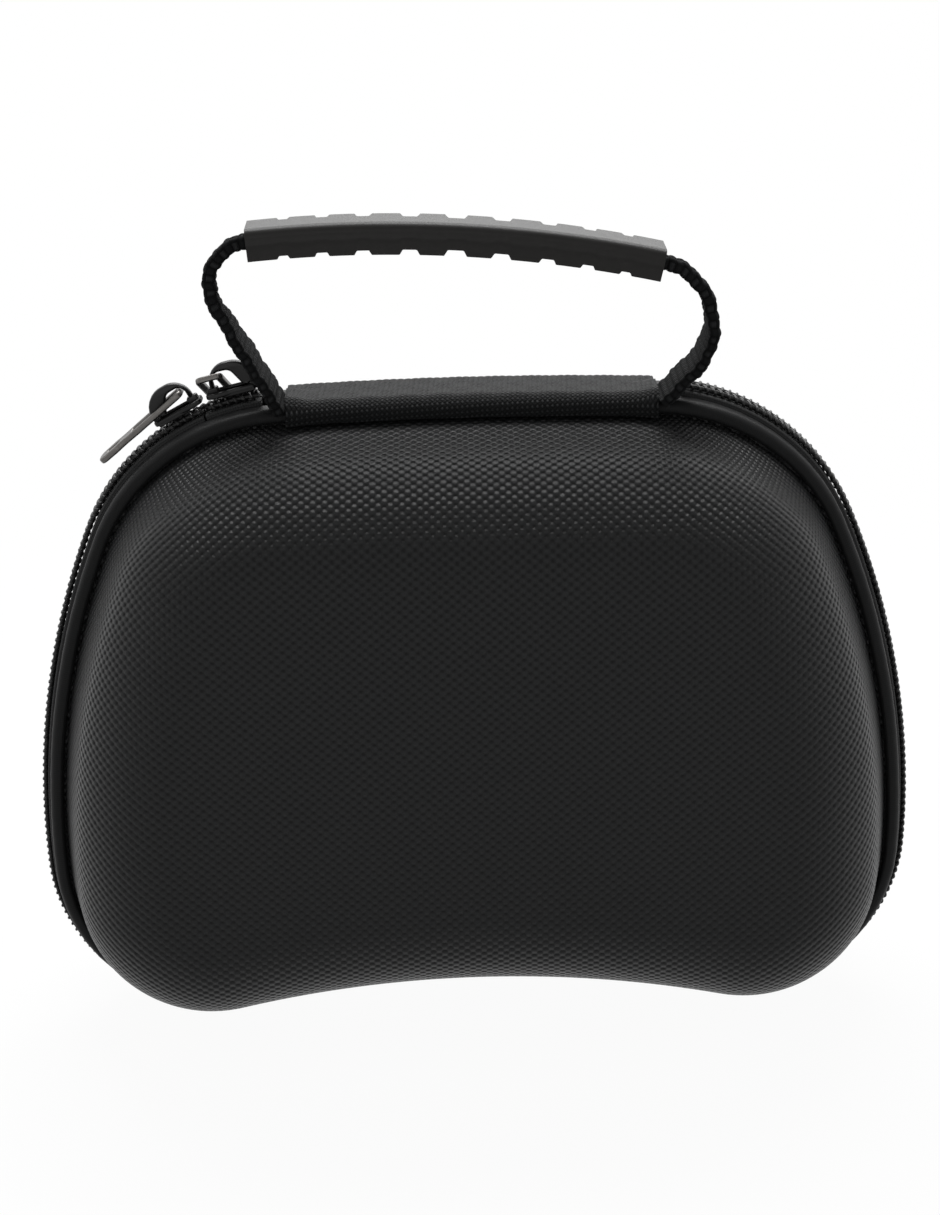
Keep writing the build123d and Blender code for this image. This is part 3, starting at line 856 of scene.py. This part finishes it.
def make_grip(material):
    """Rubber sleeve folded over the strap's top and front, with scalloped long edges."""
    under = GRIP_R + WEBBING_T / 2 + 0.1
    columns, top_rows, turn_rows, front_rows = 401, 14, 6, 15
    verts, faces = [], []

    def scallop(share):
        """How deep the notches cut at this share of the grip's length, from 0 to 1."""
        place = min(NOTCH_PLACES, key=lambda x: abs(x - abs(share - 0.5)))
        size = 1 - NOTCH_SHRINK * place
        beyond = abs(abs(share - 0.5) - place) * GRIP_LENGTH / (size * NOTCH_W / 2)
        return size * max(0.0, min(1.0, (1.15 - beyond) / 0.35))

    def profile(share, layer):
        """The section from the rear edge over the top and down the front: (radius, depth)."""
        cut = scallop(share)
        gap = SLEEVE_T * layer
        top = under + SLEEVE_T - gap
        front = SLEEVE_FRONT + gap
        corner = 0.25 if layer else SLEEVE_CORNER
        rear = SLEEVE_REAR - cut * REAR_NOTCH_DEPTH
        run = [(top, d) for d in np.linspace(rear, front + corner, top_rows)]
        for a in np.linspace(0, math.pi / 2, turn_rows)[1:-1]:
            run.append((top - corner + corner * math.cos(a), front + corner - corner * math.sin(a)))
        edge = under + SLEEVE_T - SLEEVE_DROP + cut * NOTCH_DEPTH
        for t in np.linspace(0, 1, front_rows):
            ridge = RIDGE_RISE * math.exp(-(((t - RIDGE_PLACE) / RIDGE_SPREAD) ** 2)) * (1 - layer)
            run.append((top - corner + (edge - top + corner) * t, front - ridge))
        return run

    rows = top_rows + turn_rows - 2 + front_rows
    for layer in (0.0, 1.0):
        for i in range(columns):
            share = i / (columns - 1)
            out = turned(0, 1, GRIP_TILT + GRIP_HALF * (1 - 2 * share))
            for r, d in profile(share, layer):
                spot = GRIP_CENTRE + out * r
                verts.append((spot.x, d, spot.y))
    back = columns * rows
    for i in range(columns - 1):
        for j in range(rows - 1):
            a, b = i * rows + j, (i + 1) * rows + j
            faces.append((a, b, b + 1, a + 1))
            faces.append((back + a, back + a + 1, back + b + 1, back + b))
        for j in (0, rows - 1):
            a, b = i * rows + j, (i + 1) * rows + j
            faces.append((a, b, back + b, back + a))
    for i in (0, columns - 1):
        for j in range(rows - 1):
            a = i * rows + j
            faces.append((a, a + 1, back + a + 1, back + a))
    piece = add_piece("grip_sleeve", verts, faces, [material], sharp=60)
    fix_normals(piece)
    bevel = piece.modifiers.new("soft_edges", "BEVEL")
    bevel.width = 0.25 * MM
    bevel.segments = 2
    bevel.limit_method = "ANGLE"
    bevel.angle_limit = math.radians(50)
    belongs(piece, "front_half", "grip_rubber", "handle_grip")


# Sliders and pulls

def plate(outlines, thickness, bevel, place):
    """A plate with rounded edges, from an outline and its holes. Place puts it in the object.

    The holes' points run the other way round, so that their rounding stays inside the outline.
    """
    curve = bpy.data.curves.new("plate", "CURVE")
    curve.dimensions, curve.fill_mode = "2D", "BOTH"
    curve.extrude, curve.bevel_depth, curve.bevel_resolution = thickness / 2 - bevel, bevel, 2
    curve.offset = -bevel
    for i, points in enumerate(outlines):
        if i:
            points = points[::-1]
        spline = curve.splines.new("POLY")
        spline.points.add(len(points) - 1)
        spline.points.foreach_set("co", [c for x, y in points for c in (x, y, 0, 1)])
        spline.use_cyclic_u = True
    holder = bpy.data.objects.new("plate", curve)
    mesh = bpy.data.meshes.new_from_object(holder)
    verts = [tuple(place @ v.co) for v in mesh.vertices]
    faces = [tuple(p.vertices) for p in mesh.polygons]
    bpy.data.objects.remove(holder)
    bpy.data.curves.remove(curve)
    bpy.data.meshes.remove(mesh)
    return verts, faces


def box_outline(length, width, radius, x=0.0, y=0.0, count=6):
    corners = [(x - length / 2, y - width / 2), (x + length / 2, y - width / 2)]
    corners += [(x + length / 2, y + width / 2), (x - length / 2, y + width / 2)]
    return rounded(corners, [radius] * 4, count)


def lifted(place, height):
    return place @ Matrix.Translation((0, 0, height))


def shoulder(angle, turn=0.0):
    """From a slider's own axes to the object's, in millimetres."""
    place = Matrix.Translation((-SHOULDER_X, 0, SHOULDER_Z)) @ Matrix.Rotation(-angle, 4, "Y")
    return lifted(place, SHOULDER_R + ZIP_PROUD) @ Matrix.Rotation(turn, 4, "Z")


def moved(parts, place):
    return [tuple(place @ Vector(v)) for v in parts[0]], parts[1]


def metal_piece(name, parts, material, body, node):
    verts, faces = joined(parts)
    piece = add_piece(name, verts, faces, [material], sharp=45)
    fix_normals(piece, weld=True)
    belongs(piece, body, "slider_metal", node)


def make_slider(side, angle, turn, material):
    """A cast slider: two wings joined by a neck, curled-down lips, a crown and its two lugs."""
    place = shoulder(angle, turn)
    upright = place @ Matrix.Rotation(math.pi / 2, 4, "X")
    nose, tail = SLIDER_LENGTH / 2, -SLIDER_LENGTH / 2
    half, narrow = SLIDER_WIDTH / 2, SLIDER_WIDTH / 2 - 0.7
    wing = [(tail, -narrow), (0.5, -narrow), (nose - 2, -half), (nose, -half + 0.9)]
    wing += [(x, -y) for x, y in reversed(wing)]
    wing = rounded(wing, [1.3, 1.5, 1.2, 0.9, 0.9, 1.2, 1.5, 1.3], 6)
    middle = (WING_LOW + WING_HIGH) / 2
    parts = [plate([wing], WING_HIGH - WING_LOW, 0.3, lifted(place, middle))]
    inner = box_outline(INNER_LENGTH, INNER_WIDTH, SLIDER_CORNER)
    low = (INNER_LOW + INNER_HIGH) / 2
    parts.append(plate([inner], INNER_HIGH - INNER_LOW, 0.25, lifted(place, low)))
    neck = box_outline(NECK_LENGTH, NECK_WIDTH, 0.15, count=3)
    height = WING_LOW - INNER_HIGH + 0.4
    parts.append(plate([neck], height, 0.05, lifted(place, INNER_HIGH - 0.2 + height / 2)))
    for side_y in (-1, 1):
        lip = box_outline(6.4, 0.95, 0.3, -1.2, 0.72, 4)
        away = Matrix.Translation((0, 0, side_y * (narrow - 0.28)))
        parts.append(plate([lip], 0.55, 0.2, upright @ away))
    base = WING_HIGH - 0.15
    left, right = -CROWN_LENGTH / 2 - CROWN_SHIFT, CROWN_LENGTH / 2 - CROWN_SHIFT
    top = WING_HIGH + CROWN_HEIGHT
    outer = [(left, base), (right, base), (right, top), (left, top)]
    outer = rounded(outer, [0.3, 0.3, CROWN_ROUND - 0.6, CROWN_ROUND], 9)
    hole_end = HOLE_SHIFT - CROWN_SHIFT + HOLE_LENGTH / 2
    hole_top = WING_HIGH + HOLE_HEIGHT
    hole = [(-2.3, WING_HIGH), (hole_end, WING_HIGH), (hole_end, hole_top), (-0.4, hole_top - 0.1)]
    hole = rounded(hole, [0.3, 0.3, HOLE_ROUND, 1.6], 7)
    parts.append(plate([outer, hole], CROWN_WIDTH, 0.5, upright))
    for centre, length, rise in ((nose - 1.5, 2.2, 1.3), (tail + 1.1, 1.5, 0.8)):
        lug = box_outline(length, rise, 0.4, centre, WING_HIGH + rise / 2 - 0.3, 5)
        parts.append(plate([lug], LUG_WIDTH, 0.35, upright))
    metal_piece(side + "_slider_body", parts, material, side + "_runner", side + "_slider")


def make_pull(side, place, material):
    """A flat tab along -x with a waist and a window, and a pin between its two prongs."""
    half, waist = PULL_WIDTH / 2, PULL_WAIST / 2
    edge = [(PIN_R, half), (-WINDOW_LENGTH + 1.5, half), (-WINDOW_LENGTH - 2.5, waist)]
    edge += [(-PULL_LENGTH + 4.5, half), (-PULL_LENGTH, half - 0.4)]
    edge += [(x, -y) for x, y in reversed(edge)]
    tab = rounded(edge, [1.3, 5, 5, 2, 1.8, 1.8, 2, 5, 5, 1.3], 7)
    window = box_outline(WINDOW_LENGTH, WINDOW_WIDTH, 0.5, -PIN_R - WINDOW_LENGTH / 2 + 0.5)
    slot = box_outline(3.2, 1.5, 0.7, -PULL_LENGTH + 3.6)
    parts = [plate([tab, window, slot], PULL_T, 0.35, place)]
    pin = [(0, y, 0) for y in np.linspace(-PIN_LENGTH / 2, PIN_LENGTH / 2, 5)]
    parts.append(moved(tube(pin, PIN_R - 0.05, 16), place))
    metal_piece(side + "_pull_tab", parts, material, side + "_tab", side + "_pull")


# Inside

NET_WIDE, NET_TALL, NET_YARN = 1.35, 1.25, 0.42


def wall_span(inset, height):
    """Where the left and right walls stand at a height."""
    x, z = Rail(inset).places.T
    ends = []
    for side in (-1, 1):
        wall = x * side > 60
        order = np.argsort(z[wall])
        ends.append(float(np.interp(height, z[wall][order], x[wall][order])))
    return ends


def make_band(name, node, body, material, low, high, depth, thickness, inset, ribs, ruffle):
    """An elastic band from wall to wall, ribbed along its length, with a slightly wavy face."""
    half = thickness / 2
    around = [(low, -half), (high, -half), (high, half), (low, half)]
    around = rounded(around, [thickness * 0.35] * 4, 4)
    dense = []
    for (z, y), (next_z, next_y) in pairwise(around + around[:1]):
        steps = max(1, int(abs(next_z - z) / 0.4))
        dense += [(z + (next_z - z) * t, y + (next_y - y) * t) for t in np.arange(steps) / steps]
    shares = np.linspace(0, 1, 141)
    ends = [wall_span(inset, z) for z, _ in dense]
    verts = []
    for share in shares:
        for (z, y), (left, right) in zip(dense, ends):
            x = left + (right - left) * share
            rib = abs(math.sin(math.pi * (z - low) / (high - low) * ribs))
            wave = ruffle * math.sin(x * 0.55) * math.sin(math.pi * share)
            verts.append((x, depth + y * 0.8 + math.copysign(0.12 * rib, y) + wave, z))
    fars = [x for x, _, _ in verts[:: len(dense)]]
    faces, uvs = section_faces(fars, distances(dense + dense[:1]))
    piece = add_piece(name, verts, faces, [material], uvs, sharp=60)
    fix_normals(piece)
    belongs(piece, body, "elastic", node)


def make_net(yarn, tape):
    """The pocket's net of thin yarns, stretched over the front half and taped at its edge."""
    rail = Rail(NET_INSET)
    rim = [Vector(p) for p in rail.places[:-1:4]]
    verts, faces, number = [], [], {}

    def corner(i, k):
        if (i, k) not in number:
            number[(i, k)] = len(verts)
            x, z = i * NET_WIDE, k * NET_TALL
            verts.append((x, -NET_DEPTH + 0.12 * math.sin(x * 0.11) * math.sin(z * 0.13), z))
        return number[(i, k)]

    for i in range(-60, 61):
        for k in range(3, int(NET_TOP / NET_TALL)):
            if (i + k) % 2 or (k + 1) * NET_TALL > NET_TOP + 0.3:
                continue
            if depth_inside(i * NET_WIDE, k * NET_TALL, rim) > 1.6:
                around = (i, k - 1), (i + 1, k), (i, k + 1), (i - 1, k)
                faces.append(tuple(corner(*spot) for spot in around))
    piece = add_piece("pocket_net", verts, faces, [yarn])
    wires = piece.modifiers.new("yarns", "WIREFRAME")
    wires.thickness = NET_YARN * MM
    wires.use_even_offset = False
    belongs(piece, "front_half", "net", "mesh_pocket")
    low = np.flatnonzero(rail.places[:, 1] < NET_TOP)
    fars = np.arange(rail.far[low[0]], rail.far[low[-1]], 2.0)
    run = rounded([(-0.2, 0.0), (2.6, 0.0), (2.6, 0.9), (-0.2, 0.9)], [0.2, 0.35, 0.35, 0.2], 4)
    profile = [(inset, -NET_DEPTH - 0.45 + depth) for inset, depth in run]
    parts = sweep(rail, fars, profile)
    edge = add_piece("pocket_edge_tape", *parts[:2], [tape], parts[2])
    fix_normals(edge)
    belongs(edge, "front_half", "elastic")


# Floor. Its glow rises to full between the near and the far distance, in metres.
NEAR_FLOOR, FAR_FLOOR, NEAR_GLOW = 0.12, 0.34, 0.95
FLOOR_GREY, FLOOR_HALF = 0.8, 4000


def make_floor():
    """A pale floor that glows nearly white where it is seen, so that it keeps a light shadow."""
    g = Graph("pale_floor")
    diffuse = g.add("ShaderNodeBsdfDiffuse")
    diffuse.inputs["Color"].default_value = grey(FLOOR_GREY)
    glow = g.add("ShaderNodeEmission")
    glow.inputs["Color"].default_value = (1, 1, 1, 1)
    mix = g.add("ShaderNodeMixShader")
    place = g.add("ShaderNodeTexCoord").outputs["Object"]
    away = g.add("ShaderNodeVectorMath", operation="LENGTH")
    g.plug(away.inputs[0], place)
    past = g.math("SUBTRACT", away.outputs["Value"], NEAR_FLOOR)
    far = clamped(g, g.math("DIVIDE", past, FAR_FLOOR - NEAR_FLOOR))
    g.plug(mix.inputs["Fac"], g.math("MULTIPLY", seen_ray(g.tree), g.mix(far, NEAR_GLOW, 1.0)))
    g.plug(mix.inputs[1], diffuse.outputs[0])
    g.plug(mix.inputs[2], glow.outputs[0])
    g.plug(g.out.inputs["Surface"], mix.outputs[0])
    verts = [(x * FLOOR_HALF, y * FLOOR_HALF, 0) for x, y in ((-1, -1), (1, -1), (1, 1), (-1, 1))]
    floor = add_piece("floor", verts, [(0, 1, 2, 3)], [g.material])


make_camera()
make_lights()
make_world()
make_floor()

woven = plain_weave(
    "woven_black", (1.085, 0.9), dark=0.0015, light=0.0165, depth=0.42, rough=0.34, sheen=0.01,
    wave=0.25, gloss=0.115, pits=1.6,
)
lining = plain_weave(
    "lining_black", (0.45, 0.45), dark=0.008, light=0.025, depth=0.08, rough=0.8, under=0.7
)
strap_weave = plain_weave(
    "webbing_black", (1.4, 1.1), dark=0.004, light=0.02, depth=0.35, rough=0.8, sheen=0.01,
    under=0.6, gloss=0.03,
)
strip_weave = plain_weave(
    "strip_black", (1.0, 0.9), dark=0.004, light=0.024, depth=0.25, rough=0.5, sheen=0.01,
    under=0.4, low=0.3, gloss=0.04, turn=True,
)
bead = ribbed(
    "binding_black", 0.45, dark=0.006, light=0.011, depth=0.02, fine=0.35, rough=0.45,
    sheen=0.01, gloss=0.07,
)
tape_weave = ribbed("tape_black", 0.5, dark=0.006, light=0.016, depth=0.08)
elastic = ribbed("elastic_black", 0.8, dark=0.006, light=0.024, depth=0.15)
net_yarn = ribbed("net_black", 0.3, dark=0.008, light=0.03, depth=0.03, fine=0.3)
nylon = moulded("coil_nylon", 0.016, rough=0.42, grain=0.3, depth=0.01, gloss=0.2)
rubber = moulded(
    "grip_rubber_black", 0.01, rough=0.42, grain=0.25, depth=0.03, warm=0.12, gloss=0.16
)
black_metal = moulded("slider_black", 0.006, rough=0.34, grain=0.2, depth=0.006, gloss=0.22)
metal = moulded(
    "pull_gunmetal", 0.1, rough=0.38, grain=0.2, depth=0.006, metal=0.9, warm=0.1
)

for side, body, sign in (("front", "front_half", -1), ("rear", "rear_half", 1)):
    make_shell(side + "_shell", body, sign, woven, lining)
    make_binding(side, body, bead)
for kind, body in (("front", "front_half"), ("rear", "rear_half"), ("held", "rear_half")):
    make_coil(kind, body, nylon)
    make_tape(kind, body, tape_weave)
make_strip(strip_weave)
make_webbing(strap_weave)
make_grip(rubber)

make_slider("left", LEFT_ANGLE, 0.0, black_metal)
make_slider("right", RIGHT_ANGLE, math.pi, black_metal)
tilt = Matrix.Translation(LEFT_PIN) @ Matrix.Rotation(-PULL_TILT, 4, "Y")
make_pull("left", shoulder(LEFT_ANGLE) @ tilt, metal)
hang = Matrix.Translation(RIGHT_PIN) @ Matrix.Rotation(-HUNG_TILT, 4, "X")
hang = hang @ Matrix.Rotation(-math.pi / 2, 4, "Z") @ Matrix.Translation((PIN_REACH, 0, 0))
make_pull("right", shoulder(RIGHT_ANGLE) @ hang, metal)

make_net(net_yarn, elastic)
make_band(
    "pocket_hem_band", "pocket_hem", "front_half", elastic,
    HEM_LOW, HEM_HIGH, -HEM_DEPTH, HEM_T, HEM_INSET, 4, 0.12,
)
make_band(
    "retaining_strap_band", "retaining_strap", "rear_half", elastic,
    STRAP_LOW, STRAP_HIGH, STRAP_DEPTH, STRAP_T, STRAP_INSET, 10, 0.0,
)

scene = bpy.context.scene
scene.view_settings.view_transform = "Standard"
